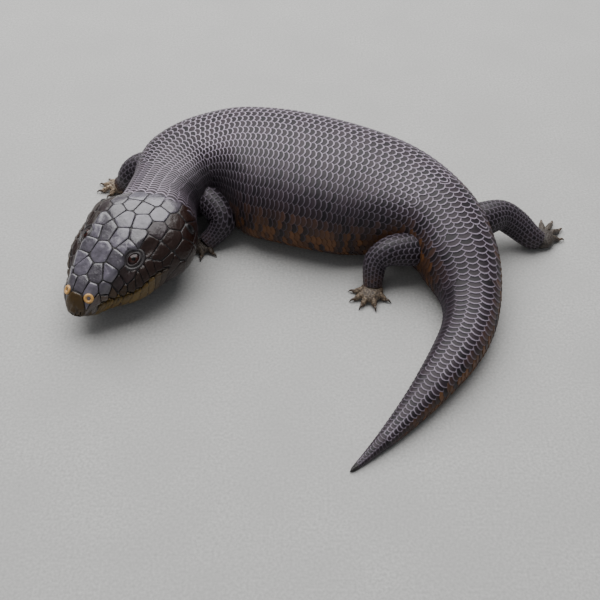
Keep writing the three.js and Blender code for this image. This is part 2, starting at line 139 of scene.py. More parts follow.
# Height, middle and spread of each ridge and hollow of the head, in millimetres; the jowl's second
# one is in radians
BROW_RIDGE = (0.9, 0, 2.2)
BROW_HOLLOW = (-1.1, 5, 3)
MOUTH_LINE = (-1.1, 0, 0.5)
UPPER_LIP = (0.45, -1.8, 1.2)
LOWER_LIP = (0.3, 1.6, 1.1)
JOWL_ALONG = (0.9, 49, 9)
JOWL_AROUND = (1, 1.6, 0.5)
BROW_FLATTENING = 0.8
BROW_START, BROW_END = (9, 18), (38, 48)
CORNER_FADE = 3
SNOUT_SETTLE, NAPE_SETTLE = (1, 6), (58, NAPE)


def bell(x, height, middle, spread):
    """Height times e to the minus square of the distance from the middle, counted in spreads."""
    return height * np.exp(-((x - middle) / spread) ** 2)


def head_relief(station, angle):
    """Sum of bell-shaped ridges and hollows beside the brow line and the mouth line."""
    from_top = np.abs(angle)
    width = half_width(station)
    from_brow = (from_top - brow_angle(station)) * width * BROW_FLATTENING
    from_mouth = (from_top - mouth_angle(station)) * width
    brow_window = smooth_step(station, *BROW_START) * (1 - smooth_step(station, *BROW_END))
    mouth_window = 1 - smooth_step(station, MOUTH_CORNER - CORNER_FADE, MOUTH_CORNER)
    brow = (bell(from_brow, *BROW_RIDGE) + bell(from_brow, *BROW_HOLLOW)) * brow_window
    mouth = bell(from_mouth, *MOUTH_LINE) * mouth_window
    lips = bell(from_mouth, *UPPER_LIP) + bell(from_mouth, *LOWER_LIP)
    jowl = bell(station, *JOWL_ALONG) * bell(from_top, *JOWL_AROUND)
    settle = smooth_step(station, *SNOUT_SETTLE) * (1 - smooth_step(station, *NAPE_SETTLE))
    return (brow + mouth + lips * mouth_window + jowl) * settle


def skin_point(station, angle, lift=0.0):
    """The plain body moved out along its normal by the head's relief and by a lift."""
    rise = head_relief(station, angle) + lift
    return body_point(station, angle) + body_normal(station, angle) * np.asarray(rise)[..., None]


def patch_faces(points):
    """Quads between neighbouring points of many separate grids, whose outer face looks along rows
    crossed with columns."""
    grids, rows, columns = points.shape[:3]
    row, column = np.meshgrid(np.arange(rows - 1), np.arange(columns - 1), indexing="ij")
    first = (row * columns + column).ravel()
    quad = np.stack([first, first + columns, first + columns + 1, first + 1], -1)
    return (quad[None] + (np.arange(grids) * rows * columns)[:, None, None]).reshape(-1, 4)


def mesh_piece(name, material, grids):
    """A smooth-shaded mesh of grids of points in millimetres. Each grid comes with the numbers that
    its points carry by name, and u and v are their places on the baked map."""
    points, faces, count = [], [], 0
    for grid, _ in grids:
        faces.append(patch_faces(grid) + count)
        points.append(grid.reshape(-1, 3))
        count += points[-1].shape[0]
    mesh = bpy.data.meshes.new(name)
    mesh.from_pydata((np.concatenate(points) * MM).tolist(), [], np.concatenate(faces).tolist())
    mesh.polygons.foreach_set("use_smooth", np.ones(len(mesh.polygons), bool))
    values = {}
    for label in grids[0][1]:
        values[label] = np.concatenate([
            np.broadcast_to(numbers[label], grid.shape[:3]).ravel() for grid, numbers in grids])
    corner_vertex = np.zeros(len(mesh.loops), np.int32)
    mesh.loops.foreach_get("vertex_index", corner_vertex)
    layer = mesh.uv_layers.new(name="OFBake")
    places = np.stack([values.pop("u"), values.pop("v")], -1).astype(np.float32)
    layer.data.foreach_set("uv", places[corner_vertex].ravel())
    for label, numbers in values.items():
        carried = mesh.attributes.new(label, "FLOAT", "POINT")
        carried.data.foreach_set("value", numbers.astype(np.float32))
    mesh.materials.append(material)
    piece = bpy.data.objects.new(name, mesh)
    bpy.context.scene.collection.objects.link(piece)
    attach(piece, "root")
    return piece


# Sockets of a Mix node for its two colours and its result
MIX_A, MIX_B, MIX_OUT = 6, 7, 2


def colour(code):
    """An sRGB hex colour as linear values for a socket."""
    channels = np.array([code >> 16 & 255, code >> 8 & 255, code & 255]) / 255
    linear = np.where(channels <= 0.04045, channels / 12.92, ((channels + 0.055) / 1.055) ** 2.4)
    return (*linear.tolist(), 1.0)


def feed(node, inputs):
    """Gives each input of a node its value, or the socket that feeds it."""
    for socket, value in inputs.items():
        if isinstance(value, bpy.types.NodeSocket):
            node.id_data.links.new(value, node.inputs[socket])
        else:
            node.inputs[socket].default_value = value


def add_node(tree, kind, inputs, **settings):
    """Adds a node with its settings and feeds its inputs."""
    node = tree.nodes.new(kind)
    for name, value in settings.items():
        setattr(node, name, value)
    feed(node, inputs)
    return node


def finish_material(name):
    """A new material, its tree and its Principled shader."""
    material = bpy.data.materials.new(name)
    material.use_nodes = True
    return material, material.node_tree, material.node_tree.nodes["Principled BSDF"]


def attribute(tree, label):
    """The number that a mesh carries under this name."""
    return add_node(tree, "ShaderNodeAttribute", {}, attribute_name=label).outputs["Fac"]


def fade(tree, value, start, end):
    """1 at the start value, 0 at the end value, with a smooth ease between."""
    return add_node(tree, "ShaderNodeMapRange", {
        "Value": value, "From Min": start, "From Max": end, "To Min": 1.0, "To Max": 0.0,
    }, interpolation_type="SMOOTHSTEP").outputs["Result"]


def blend(tree, share, low, high):
    """The low colour at share 0 and the high colour at share 1."""
    return add_node(
        tree, "ShaderNodeMix", {0: share, MIX_A: low, MIX_B: high}, data_type="RGBA").outputs[MIX_OUT]


def grain(tree, size, detail=3.0):
    """Even noise from 0 to 1, whose features are about this many millimetres across."""
    places = add_node(tree, "ShaderNodeTexCoord", {}).outputs["Object"]
    return add_node(tree, "ShaderNodeTexNoise", {
        "Vector": places, "Scale": 1 / (size * MM), "Detail": detail}).outputs["Fac"]


def bump(tree, height, depth):
    """A surface normal from a height between 0 and 1, this many millimetres deep."""
    return add_node(tree, "ShaderNodeBump", {
        "Height": height, "Distance": depth * MM, "Strength": 1.0}).outputs["Normal"]


# Rows of the skin lie 0.45 mm apart on the head and 2 mm on the body, and its columns crowd towards
# the mouth line
HEAD_STEP = 0.45
BODY_STEP = 2.0
QUARTER_COLUMNS = 38
CROWDING = 1.35
snout_stations = np.concatenate([[0.01, 0.1], np.linspace(0.3, 12, 34)])
head_stations = np.concatenate([snout_stations, np.arange(12 + HEAD_STEP, NAPE, HEAD_STEP)])
skin_stations = np.concatenate([head_stations, np.arange(NAPE, TAIL_TIP + 0.1, BODY_STEP)])[:, None]
quarter = np.linspace(0, 1, QUARTER_COLUMNS)[None]
mouth = mouth_angle(np.minimum(skin_stations, MOUTH_CORNER))
above_mouth = mouth * (1 - (1 - quarter) ** CROWDING)
below_mouth = mouth + (math.pi - mouth) * quarter ** CROWDING
right_side = np.concatenate([above_mouth, below_mouth[:, 1:]], 1)
skin_angles = np.concatenate([-right_side[:, :0:-1], right_side], 1)
skin_grid = skin_point(skin_stations, skin_angles)


def closed_ends(points):
    """The same rows of points, with the first row and the last drawn together to their means."""
    closed = points.copy()
    closed[[0, -1]] = points[[0, -1]].mean(1, keepdims=True)
    return closed


def place_on_head(station, angle):
    """A point of the skin, the way out of it, and two ways square to that: back along the body and
    round it."""
    point = skin_point(np.array([station]), np.array([angle]))[0]
    outward = body_normal(np.array([station]), np.array([angle]))[0]
    behind = body_point(np.array([station + 1.0]), np.array([angle]))[0] - point
    along = behind - outward * (behind @ outward)
    along /= np.linalg.norm(along)
    return point, outward, along, np.cross(outward, along)


EYE_STATION, EYE_ANGLE = 32, 0.64
SOCKET_RADIUS = 3.6
SOCKET_REACH = 6
SKIN_SUNK, SKIN_SLOPE = 3.6, 1.4
eye_places = [place_on_head(EYE_STATION, EYE_ANGLE * side) for side in (1, -1)]


def with_sockets(points, sunk, slope):
    """The same points, pressed in along each eye's axis: by the sunk depth within the socket's
    radius, easing to nothing over the slope beyond it."""
    for place, outward, _, _ in eye_places:
        from_eye = points - place
        depth = from_eye @ outward
        off_axis = np.linalg.norm(from_eye - depth[..., None] * outward, axis=-1)
        near = np.abs(depth) < SOCKET_REACH
        pressed = sunk * (1 - smooth_step(off_axis, SOCKET_RADIUS, SOCKET_RADIUS + slope)) * near
        points = points - pressed[..., None] * outward
    return points


skin_grid = closed_ends(with_sockets(skin_grid, SKIN_SUNK, SKIN_SLOPE))
LIP_BAND = (-3.2, -0.2)
LIP_END = (26, 44)
SNOUT_AMBER = 0.4
SNOUT_END = (3.0, 7.5)


def lip_amount(station, angle):
    """How amber the skin is: full on the lips and chin, less round the snout, none on the crown."""
    from_mouth = (np.abs(angle) - mouth_angle(np.minimum(station, MOUTH_CORNER))) * half_width(station)
    lips = smooth_step(from_mouth, *LIP_BAND) * (1 - smooth_step(station, *LIP_END))
    snout = SNOUT_AMBER * (1 - smooth_step(station, *SNOUT_END))
    return np.maximum(lips, snout)


# On the map the body takes the lower 0.7, and each limb has a strip above it
skin_grids = [(skin_grid[None], {
    "lip": lip_amount(skin_stations, skin_angles), "toe": 0.0,
    "u": 0.01 + 0.98 * skin_stations / TAIL_TIP,
    "v": 0.01 + 0.68 * (skin_angles + math.pi) / (2 * math.pi)})]

# Limbs: short, stout and round. Each is one bent taper of flesh out of the body, ending in a low
# pad with five toes, each toe with a horn claw. They lie on the floor beside the body.
LIMBS = {
    "front_leg_left": {
        "points": [(-56, 60, 19), (-46, 52, 19), (-40.5, 44.5, 14.5), (-44.5, 40.5, 8), (-49.5, 38, 4)],
        "radii": [(0, 9), (0.35, 8), (0.58, 7.4), (0.8, 5.4), (1, 4.6)],
        "pad": (-51, 37, 2.6), "pad_size": (6.2, 5.2, 3.1), "facing": 215,
        # Painted shade: this near front foot is painted darker than the others, its toes, pad and lower leg
        # scales less pale
        "thickness": 1.7, "pale": 0.25,
        "toes": [(-58.6, 41), (-59.8, 36.5), (-57, 31.4), (-52, 29.2), (-45.5, 31.5)]},
    "front_leg_right": {
        "points": [(-78, 80, 20), (-88, 82.5, 17.5), (-94.5, 82, 12), (-98, 83.5, 7), (-101, 84.5, 4)],
        "radii": [(0, 9), (0.35, 8), (0.6, 7.4), (0.8, 5.4), (1, 4.6)],
        "pad": (-102, 84.5, 2.6), "pad_size": (6.2, 5.2, 3.1), "facing": 175,
        "thickness": 1.7, "pale": 1.0,
        "toes": [(-104, 93), (-109, 91.5), (-113, 88), (-113.5, 82), (-107.5, 78)]},
    "hind_leg_left": {
        "points": [
            (70, 28, 18), (57, 19, 18.5), (44.5, 15.5, 19), (38.5, 13.5, 15), (37, 9, 8), (36.8, 6, 4)],
        "radii": [(0, 10), (0.3, 9.2), (0.5, 7.8), (0.7, 6.2), (0.88, 5.2), (1, 4.5)],
        "pad": (36, 3.2, 2.8), "pad_size": (7, 6, 3.3), "facing": 250,
        "thickness": 1.8, "pale": 0.6,
        "toes": [(26.5, 5), (26.5, -1), (30.5, -5.5), (37.5, -6.5), (44, -1.5)]},
    "hind_leg_right": {
        "points": [
            (82, 33, 19), (94, 38, 20), (105, 43.5, 18), (113, 43, 13), (121, 39.5, 7.5),
            (126.5, 38.5, 4.5)],
        "radii": [(0, 10), (0.3, 8.6), (0.48, 7.7), (0.7, 7.3), (0.88, 6.2), (1, 5)],
        "pad": (129.5, 41.5, 2.9), "pad_size": (7, 6.4, 3.4), "facing": 55,
        "thickness": 1.8, "pale": 0.16,
        "toes": [(126.5, 53), (132, 57), (138, 56.5), (141.5, 50.5), (140, 42.5)]},
}
PATH_STEPS = 240


def between(low, high, start, end, t):
    """The straight line from low at the start to high at the end."""
    return (low * (end - t) + high * (t - start)) / (end - start)


def smooth_path(points):
    """A centripetal Catmull-Rom curve through the points, as points evenly spaced along its length,
    and that length."""
    points = np.array(points, float)
    points = np.concatenate([[2 * points[0] - points[1]], points, [2 * points[-1] - points[-2]]])
    knots = np.concatenate([[0], np.cumsum(np.linalg.norm(np.diff(points, axis=0), axis=1) ** 0.5)])
    dense = []
    for i in range(1, len(points) - 2):
        t = np.linspace(knots[i], knots[i + 1], PATH_STEPS // 4)[:, None]
        four, at = points[i - 1:i + 3], knots[i - 1:i + 3]
        first = [between(four[j], four[j + 1], at[j], at[j + 1], t) for j in range(3)]
        second = [between(first[j], first[j + 1], at[j], at[j + 2], t) for j in range(2)]
        dense.append(between(*second, at[1], at[2], t))
    dense = np.concatenate(dense)
    run = np.concatenate([[0], np.cumsum(np.linalg.norm(np.diff(dense, axis=0), axis=1))])
    even = np.linspace(0, run[-1], PATH_STEPS + 1)
    return np.stack([np.interp(even, run, dense[:, axis]) for axis in range(3)], -1), run[-1]


def tube_surface(path, radius, spread):
    """A function of share along the path, angle round it and lift: the path's point, moved out by
    the radius there in the direction that the angle gives, from the spread direction round."""
    tangents = np.gradient(path, axis=0)
    tangents /= np.linalg.norm(tangents, axis=1, keepdims=True)
    across = spread - (tangents @ spread)[:, None] * tangents
    across /= np.linalg.norm(across, axis=1, keepdims=True)
    upward = np.cross(across, tangents)

    def surface(t, angle, lift=0.0):
        t, angle = np.broadcast_arrays(t, angle)
        place = np.clip(t, 0, 1) * (len(path) - 1)
        middle, aside, above = [
            np.stack([np.interp(place, np.arange(len(path)), rows[:, axis]) for axis in range(3)], -1)
            for rows in (path, across, upward)]
        out = aside * np.cos(angle)[..., None] + above * np.sin(angle)[..., None]
        return middle + out * (radius(t) + lift)[..., None]

    return surface


def on_floor(points, gap=0.02):
    """The same points, with any below the floor laid just above it."""
    raised = points.copy()
    raised[..., 2] = np.maximum(raised[..., 2], gap)
    return raised


# Shares of a toe's reach at its tip and its root, and heights of its path as so many thicknesses
# and so many millimetres
TIP_SHARE, ROOT_SHARE, KNUCKLE_SHARE = 0.12, 0.22, 0.45
ROOT_HEIGHT, KNUCKLE_HEIGHT, TIP_HEIGHT = (1, 0.9), (1.35, 0.6), (0.72, -0.25)
TOE_TAPER, TOE_CLOSING, TOE_CLOSED = 0.32, 0.9, 0.97
TOE_RINGS, RING_STEP = 8, 0.07
CLAW_LENGTH, CLAW_ROOT = 3.4, 0.8
CLAW_ARCH, CLAW_TIP_HEIGHT = 0.95, 0.25
CLAW_THICKNESS, CLAW_POINT = 0.55, 0.1
FOOT_PALENESS, FOOT_START = 0.6, 0.8


def toe_radius(thickness, t):
    """Tapers by a third, is ringed by rows of scales, and closes round at the tip."""
    ringed = 1 + RING_STEP * (1 - (t * TOE_RINGS) % 1)
    closing = np.sqrt(1 - smooth_step(t, TOE_CLOSING, 1.0) * TOE_CLOSED)
    return thickness * (1 - TOE_TAPER * t) * ringed * closing


def claw_radius(thickness, t):
    """Straight taper to a blunt point."""
    return thickness * CLAW_THICKNESS * (1 - t) + CLAW_POINT


limb_surfaces = {}
claw_grids = []
limb_turns = np.linspace(0, 2 * math.pi, 25)[None]
toe_turns = limb_turns[:, ::2]
limb_along = np.linspace(0, 1, 40)[:, None]
pad_dips = np.linspace(0.02, math.pi - 0.02, 16)[:, None]
toe_along = np.linspace(0, 1, 41)[:, None]
claw_along = np.linspace(0, 1, 13)[:, None]
for number, (name, limb) in enumerate(LIMBS.items()):
    points = np.array(limb["points"], float) - [*FOOTPRINT_MIDDLE, 0]
    path, length = smooth_path(points)
    bend = path[PATH_STEPS // 2]
    spread = np.cross(bend - path[0], path[-1] - bend)
    spread /= np.linalg.norm(spread)
    surface = tube_surface(path, smooth_curve(limb["radii"]), spread)
    limb_surfaces[name] = (surface, length)
    strip = 0.72 + 0.06 * number
    limb_strip = strip + 0.05 * limb_turns / (2 * math.pi)
    toe_strip = limb_strip[:, ::2]
    foot_pale = FOOT_PALENESS * limb["pale"]
    skin_grids.append((closed_ends(on_floor(surface(limb_along, limb_turns)))[None], {
        "lip": 0.0, "toe": foot_pale * smooth_step(limb_along, FOOT_START, 1.0),
        "u": 0.01 + 0.4 * limb_along, "v": limb_strip}))
    centre = np.array(limb["pad"], float) - [*FOOTPRINT_MIDDLE, 0]
    facing = math.radians(limb["facing"])
    ahead = np.array([math.cos(facing), math.sin(facing), 0])
    aside = np.array([-math.sin(facing), math.cos(facing), 0])
    size = limb["pad_size"]
    pad = (centre + (np.sin(pad_dips) * np.cos(limb_turns))[..., None] * ahead * size[0]
           + (np.sin(pad_dips) * np.sin(limb_turns))[..., None] * aside * size[1]
           + np.cos(pad_dips)[..., None] * np.array([0, 0, size[2]]))
    skin_grids.append((closed_ends(on_floor(pad))[None], {
        "lip": 0.0, "toe": foot_pale, "u": 0.42 + 0.04 * pad_dips, "v": limb_strip}))
    thickness = limb["thickness"]
    for toe_number, reach in enumerate(limb["toes"]):
        reach = np.array([*reach, 0.0]) - [*FOOTPRINT_MIDDLE, 0]
        ground = centre * [1, 1, 0]
        tip = reach + (ground - reach) * TIP_SHARE
        root = ground + (reach - ground) * ROOT_SHARE
        knuckle = root + (tip - root) * KNUCKLE_SHARE
        way = (tip - root) / np.linalg.norm(tip - root)
        side = np.array([-way[1], way[0], 0])
        toe_points = [
            place + [0, 0, thickness * height[0] + height[1]]
            for place, height in ((root, ROOT_HEIGHT), (knuckle, KNUCKLE_HEIGHT), (tip, TIP_HEIGHT))]
        toe_path, _ = smooth_path(toe_points)
        toe = tube_surface(toe_path, lambda t: toe_radius(thickness, t), side)(toe_along, toe_turns)
        skin_grids.append((closed_ends(on_floor(toe))[None], {
            "lip": 0.0, "toe": limb["pale"],
            "u": 0.56 + 0.085 * toe_number + 0.08 * toe_along, "v": toe_strip}))
        end = toe_points[-1]
        claw_path, _ = smooth_path([
            end - way * CLAW_ROOT,
            (end + way * CLAW_LENGTH * 0.5) * [1, 1, 0] + [0, 0, thickness * CLAW_ARCH],
            (end + way * CLAW_LENGTH) * [1, 1, 0] + [0, 0, CLAW_TIP_HEIGHT]])
        claw = tube_surface(claw_path, lambda t: claw_radius(thickness, t), side)(claw_along, toe_turns)
        claw_grids.append((closed_ends(on_floor(claw))[None], {
            "tone": claw_along, "u": (number * 5 + toe_number + 0.1 + 0.8 * claw_along) / 20,
            "v": 0.1 + 0.8 * toe_turns / (2 * math.pi)}))

# Reptile skin, thin and dull: nearly black in the seams between scales, amber along the lips, and
# tan with small pebbles on the toes
skin_finish, tree, shader = finish_material("skin")
dark_skin = blend(tree, grain(tree, 1.2), colour(0x141112), colour(0x262120))
PEBBLE, PEBBLE_EDGE, PEBBLE_DEPTH = 0.9, (0.3, 0.8), 0.16
object_places = add_node(tree, "ShaderNodeTexCoord", {}).outputs["Object"]
pebbles = add_node(tree, "ShaderNodeTexVoronoi", {
    "Vector": object_places, "Scale": 1 / (PEBBLE * MM)}).outputs["Distance"]
pebble_tops = fade(tree, pebbles, *PEBBLE_EDGE)
toe_skin = blend(tree, grain(tree, 1.6), colour(0x86705c), colour(0xbba68a))
toe_skin = blend(tree, pebble_tops, colour(0x5e4d3e), toe_skin)
amber_skin = blend(tree, grain(tree, 2.0), colour(0x2c1f10), colour(0x594524))
lower_face = blend(tree, attribute(tree, "lip"), dark_skin, amber_skin)
feed(shader, {
    "Base Color": blend(tree, attribute(tree, "toe"), lower_face, toe_skin), "Roughness": 0.5,
    "Normal": bump(tree, pebble_tops, PEBBLE_DEPTH)})
skin = mesh_piece("skin", skin_finish, skin_grids)
flesh_nodes = ["head", "neck", "torso_front", "torso_rear", "tail_base", "tail_middle", "tail_tip"]
flesh_nodes += [f"{limb}_{part}" for limb in LIMBS for part in ("upper", "lower", "foot")]
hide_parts(*flesh_nodes)

# Claws: short curved cones of horn, one at the tip of each toe, grown out of the skin. The horn is
# worn smooth, brown at the root and nearly black at the point, and takes a small bright highlight.
claw_finish, tree, shader = finish_material("claw_horn")
claw = blend(tree, grain(tree, 1.5), colour(0x4a382b), colour(0x6f5c4a))
feed(shader, {
    "Base Color": blend(tree, attribute(tree, "tone"), claw, colour(0x120d0b)), "Roughness": 0.3})
claws = mesh_piece("claws", claw_finish, claw_grids)

# Scales of neck, trunk, tail and throat: smooth, horny and overlapping backwards in lengthwise
# columns, each column half a scale behind its neighbours. Each is a thin tilted plate, grown from
# the skin with its front under the scale ahead. In the hollow of the bend they crowd into ridges.
SHARE_STEPS = 120
TABLE_STEP = 2.5
table_stations = np.arange(0, TAIL_TIP + TABLE_STEP, TABLE_STEP)
table_angles = np.linspace(0, math.pi, SHARE_STEPS + 1)
arc_lengths = []
share_angles = []
for sign in (1, -1):
    rings = body_point(table_stations[:, None], sign * table_angles[None])
    steps = np.linalg.norm(np.diff(rings, axis=1), axis=-1)
    lengths = np.concatenate([np.zeros((len(rings), 1)), np.cumsum(steps, 1)], 1)
    arc_lengths.append(lengths)
    even_shares = np.linspace(0, 1, SHARE_STEPS + 1)
    share_angles.append([
        np.interp(even_shares, ring / max(ring[-1], TINY), table_angles) for ring in lengths])
arc_lengths = np.array(arc_lengths)
share_angles = np.array(share_angles)


def table_row(station):
    """The table's row just before a station, and how far the station is past it, from 0 to 1."""
    row = np.clip(station, 0, TAIL_TIP - 0.01) / TABLE_STEP
    before = row.astype(int)
    return before, row - before


def angle_at_share(station, share):
    """The angle at a signed share of the arc from the top of the body to the middle of the belly,
    read between the four nearest places of a table."""
    row, past_row = table_row(station)
    place = np.clip(np.abs(share), 0, 0.9999) * SHARE_STEPS
    column = place.astype(int)
    past_column = place - column
    side = (share < 0).astype(int)
    near, far = [
        share_angles[side, i, column] * (1 - past_column) + share_angles[side, i, column + 1] * past_column
        for i in (row, row + 1)]
    return (near * (1 - past_row) + far * past_row) * np.sign(share)


def angle_across(station, across):
    """The angle whose arc over the skin, from the top of the body, has a given signed length."""
    row, past_row = table_row(station)
    past_row = past_row[..., None]
    side = (across < 0).astype(int)
    lengths = arc_lengths[side, row] * (1 - past_row) + arc_lengths[side, row + 1] * past_row
    passed = (lengths <= np.abs(across)[..., None]).sum(-1)
    step = np.clip(passed - 1, 0, len(table_angles) - 2)
    low = np.take_along_axis(lengths, step[..., None], -1)[..., 0]
    high = np.take_along_axis(lengths, step[..., None] + 1, -1)[..., 0]
    past_step = np.clip((np.abs(across) - low) / np.maximum(high - low, TINY), 0, 1)
    return (step + past_step) * table_angles[1] * np.sign(across)


# Thin horn, polished by wear: satin, charcoal to brown in the middle of each scale, with a lilac
# to tan edge 0.2 to 0.9 mm wide that draws the net over the back. The edge is partly the horn's own
# paler rim and partly painted sheen: its lilac stands for the sky's reflection on the back.
RIM_WIDTH, MOTTLING = (0.22, 0.95), 0.5
scale_finish, tree, shader = finish_material("body_scale_horn")
gap = add_node(tree, "ShaderNodeMath", {
    0: attribute(tree, "rear_gap"), 1: attribute(tree, "side_gap")}, operation="MINIMUM").outputs[0]
plate = blend(tree, attribute(tree, "tone"), colour(0x1a151a), colour(0x372c33))
flank_plate = blend(tree, attribute(tree, "tone"), colour(0x261a17), colour(0x744c2a))
plate = blend(tree, attribute(tree, "flank"), plate, flank_plate)
mottled = add_node(tree, "ShaderNodeMath", {
    0: grain(tree, 2.6), 1: MOTTLING}, operation="MULTIPLY").outputs[0]
plate = blend(tree, mottled, plate, colour(0x141114))
border = blend(tree, attribute(tree, "flank"), colour(0xb3a6b6), colour(0x4c3a30))
# The rim's strength comes from the pale attribute, which holds painted sheen along the crest and painted
# shade on the sides and in the hollow
rim = add_node(tree, "ShaderNodeMath", {
    0: fade(tree, gap, *RIM_WIDTH), 1: attribute(tree, "pale")}, operation="MULTIPLY").outputs[0]
feed(shader, {
    "Base Color": blend(tree, rim, plate, border), "Roughness": 0.46, "Specular IOR Level": 0.26,
    "Normal": bump(tree, grain(tree, 0.5), 0.05)})

# Each scale's grid, across from side to side and along from front to rear. Its last two rows lie
# above each other and make the rear edge.
TILE_ACROSS = np.array([-1, -0.8, -0.42, 0, 0.42, 0.8, 1])
TILE_ALONG = np.array([0, 0.35, 0.62, 0.82, 0.93, 1, 1])
REAR_ROUNDING = 0.42
REAR_DROP = 0.9
TILT, FRONT_SUNK = 1.5, 0.5
SIDE_FALL = 0.12
OVERLAP = 1.9
WIDTH_OVERLAP = 1.34
FRONT_HIDDEN = 0.7
USUAL_LENGTH = 6.0


def tiles(surface, starts, middles, lengths, half_widths, lift, numbers):
    """Plates on a surface of two parameters. Along = start + length x reach, where reach = row
    share x (1 - rounding x across squared); across = middle + half width x across. Height rises
    evenly with reach, falls a little to the sides, and the last row drops at the rear edge. Points
    carry their distance from the rear edge, as on a scale of usual length, and from the side."""
    row = TILE_ALONG[None, :, None]
    across = TILE_ACROSS[None, None, :]
    starts, middles, lengths, half_widths, lift = [
        np.broadcast_to(value, np.shape(starts)).astype(float)[:, None, None]
        for value in (starts, middles, lengths, half_widths, lift)]
    reach = row * (1 - REAR_ROUNDING * across ** 2)
    drop = np.zeros(len(TILE_ALONG))
    drop[-1] = REAR_DROP
    height = lift * (TILT * reach - FRONT_SUNK - SIDE_FALL * across ** 2 - drop[None, :, None])
    points = on_floor(surface(starts + lengths * reach, middles + half_widths * across + 0 * row, height))
    span = np.linalg.norm(points[:, 2, -1] - points[:, 2, 0], axis=-1)[:, None, None]
    values = {"rear_gap": USUAL_LENGTH * (1 - row), "side_gap": span / 2 * (1 - np.abs(across))}
    for label, number in numbers.items():
        values[label] = np.broadcast_to(number, starts.shape[:1])[:, None, None]
    return points, values


def body_surface(station, share, lift):
    """Skin at a station and a signed share of the arc from top to belly, moved out by a lift."""
    return skin_point(station, angle_at_share(station, share), lift)


LOW_FLANK = (0.36, 0.56)
BEHIND_SHOULDER, BEHIND_THIGH = (108, 135), (222, 240)
THIGH_RISE = 0.12
OUTER_END, INNER_END, END_FADE = 385, 290, 24


def flank_amount(station, share):
    """How brown the scales are: low on the flank, from the shoulder on and a little higher behind
    the thigh. The brown runs far along the outer side of the tail and ends early on the inner."""
    height = np.abs(share) + THIGH_RISE * smooth_step(station, *BEHIND_THIGH)
    end = np.where(np.asarray(share) > 0, OUTER_END, INNER_END)
    ending = smooth_step(station, end - END_FADE, end)
    return smooth_step(height, *LOW_FLANK) * smooth_step(station, *BEHIND_SHOULDER) * (1 - ending)


CHIN_ANGLE, CHIN_AMBER = 1.6, 0.5


def chin_amount(station, share):
    """How brown the throat's scales are: half as much as the lips, whatever the share."""
    return lip_amount(station, CHIN_ANGLE) * CHIN_AMBER


HOLLOW_START, HOLLOW_END, HOLLOW_SIDE = (70, 92), (120, 150), (0.06, 0.3)
# Painted shade in the hollow of the bend: the shares taken off a scale's tone, which darkens its plate, and
# off its rim
HOLLOW_PLATE_SHADE, HOLLOW_RIM_SHADE = 0.7, 0.65


def hollow_amount(station, share):
    """How deep a scale lies in the hollow of the bend, on the inner side of neck and shoulder; there
    its plate and rim are darkened as painted shade.
    """
    along = smooth_step(station, *HOLLOW_START) * (1 - smooth_step(station, *HOLLOW_END))
    return along * smooth_step(-share, *HOLLOW_SIDE)


EVENNESS = 0.55
# Rims are brightest in a strip along the crest, a little to the outer side, as painted sheen, and fade down
# the sides as painted shade
CREST, CREST_WIDTH, SIDE_SHADE = 0.05, 0.1, 0.8
LINE_STEPS, LINE_MARGIN = 200, 8
THICKEST, THICKENING, THINNEST = 0.5, 0.12, 0.06
FULL_WIDTH, LEAST_SHARE = 5, 0.25
BROWN_LEAST, BROWN_SPREAD = 0.4, 0.9
CELL_START, CELL_SIZE = 0.05, 0.9


def scale_band(
        start, end, pitch, columns, widen, lowest=0.0, pale=1.0, shade_from=0.44, brown=flank_amount):
    """Scales from one station to another, in columns evenly round the body, save that widen
    stretches the middle ones. A column's scales are spaced evenly along its own length, mixed with
    the spacing that the pitch gives on the midline. Columns above the lowest share are left out.
    Rims are as pale as pale says on the crest, and fade to a fifth of it at the share that follows
    pale: painted sheen along the crest, painted shade down the sides."""
    stops = [start]
    while stops[-1] < end:
        stops.append(stops[-1] + float(pitch(stops[-1])))
    stops = start + (np.array(stops) - start) * (end - start) / (stops[-1] - start)
    fronts, step = stops[:-1], np.diff(stops)
    line_stations = np.linspace(start - LINE_MARGIN, end + LINE_MARGIN, LINE_STEPS)
    grids = []
    for column in range(1 - columns // 2, columns // 2 + 1):
        even = column * 2 / columns
        middle = even + widen * math.sin(math.pi * even) / math.pi
        if abs(middle) < lowest:
            continue
        line = body_point(line_stations, angle_at_share(line_stations, np.full(LINE_STEPS, middle)))
        run = np.concatenate([[0], np.cumsum(np.linalg.norm(np.diff(line, axis=0), axis=1))])
        run_start, run_end = np.interp([start, end], line_stations, run)

        def station_at(natural):
            """Station of a scale's edge: partly its own, partly where an even spacing puts it."""
            share = (natural - start) / (end - start)
            spaced = np.interp(run_start + share * (run_end - run_start), run, line_stations)
            return natural + EVENNESS * (spaced - natural)

        first = fronts + step * ((column % 2) * 0.5 - FRONT_HIDDEN)
        starts = station_at(first)
        lengths = station_at(first + step * OVERLAP) - starts
        half = (1 + widen * math.cos(math.pi * even)) / columns * WIDTH_OVERLAP
        tone = random.random(len(step))
        # Painted shade: plates and rims darken in the hollow of the bend
        in_hollow = hollow_amount(fronts, middle)
        # Painted shade: the rims fade from the crest down the sides
        side_shade = SIDE_SHADE * smooth_step(abs(middle - CREST), CREST_WIDTH, shade_from)
        thickness = np.minimum(THICKEST, THICKENING * step) + THINNEST
        lift = thickness * np.clip(half_width(fronts) / FULL_WIDTH, LEAST_SHARE, 1)
        grid, values = tiles(body_surface, starts, middle, lengths, half, lift, {
            "tone": tone * (1 - HOLLOW_PLATE_SHADE * in_hollow),
            "flank": np.clip(brown(fronts, middle) * (BROWN_LEAST + BROWN_SPREAD * tone), 0, 1),
            "pale": pale * (1 - side_shade) * (1 - HOLLOW_RIM_SHADE * in_hollow)})
        along = CELL_START + CELL_SIZE * TILE_ALONG[:, None]
        values["u"] = (fronts[:, None, None] + step[:, None, None] * along) / TAIL_TIP
        values["v"] = (column + columns // 2 - 0.5 + CELL_SIZE / 2 * TILE_ACROSS) / columns
        grids.append((grid, values))
    return grids


